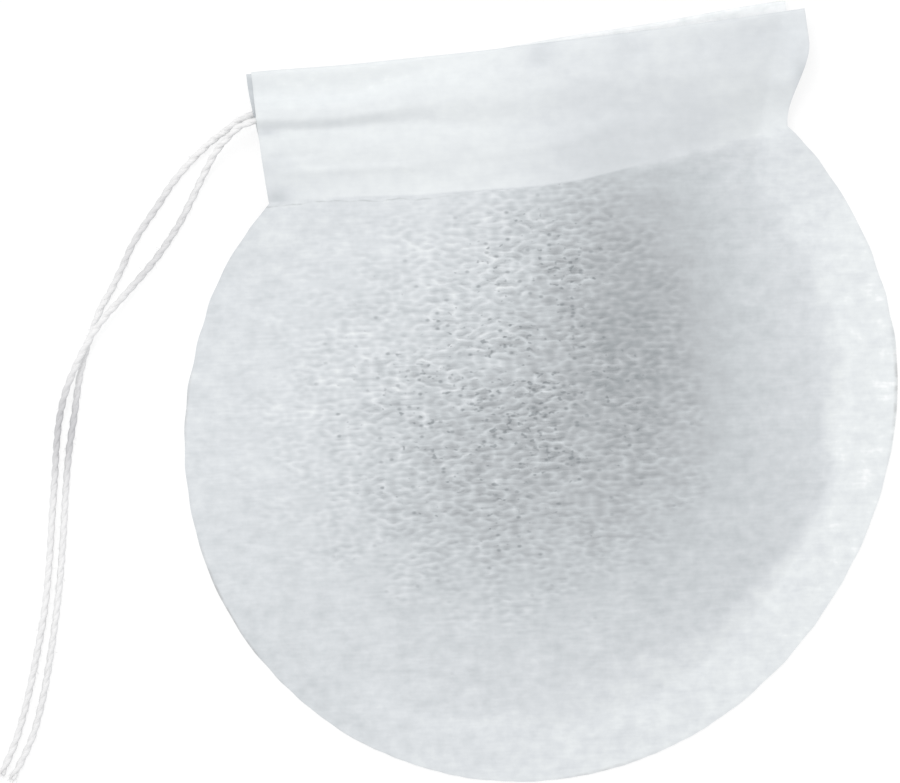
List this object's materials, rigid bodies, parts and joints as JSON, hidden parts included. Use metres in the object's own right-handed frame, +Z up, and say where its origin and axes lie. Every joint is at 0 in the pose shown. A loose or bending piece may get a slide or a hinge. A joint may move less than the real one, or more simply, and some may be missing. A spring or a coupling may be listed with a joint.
{
  "type": "round tea filter bag",
  "caption": "Round drawstring filter bag of thin white nonwoven paper, with a folded hem at the mouth, a cotton string in the hem and its loose ends at one side.",
  "frame": {"origin": "middle of the round body, on the surface that the back sheet lies on", "axes": "+X along the mouth, away from the string ends; +Y out through the mouth; +Z up, away from the surface"},
  "size_m": [0.1051, 0.0825, 0.0102],
  "materials": {
    "filter_paper": "matte nonwoven filter paper, thin and slightly see-through",
    "cotton_string": "matte white two-ply cotton string"
  },
  "bodies": {
    "root": {"front_sheet": "filter_paper", "back_sheet": "filter_paper", "drawstring": "cotton_string", "string_end_back": "cotton_string", "string_end_front": "cotton_string"}
  },
  "joints": []
}
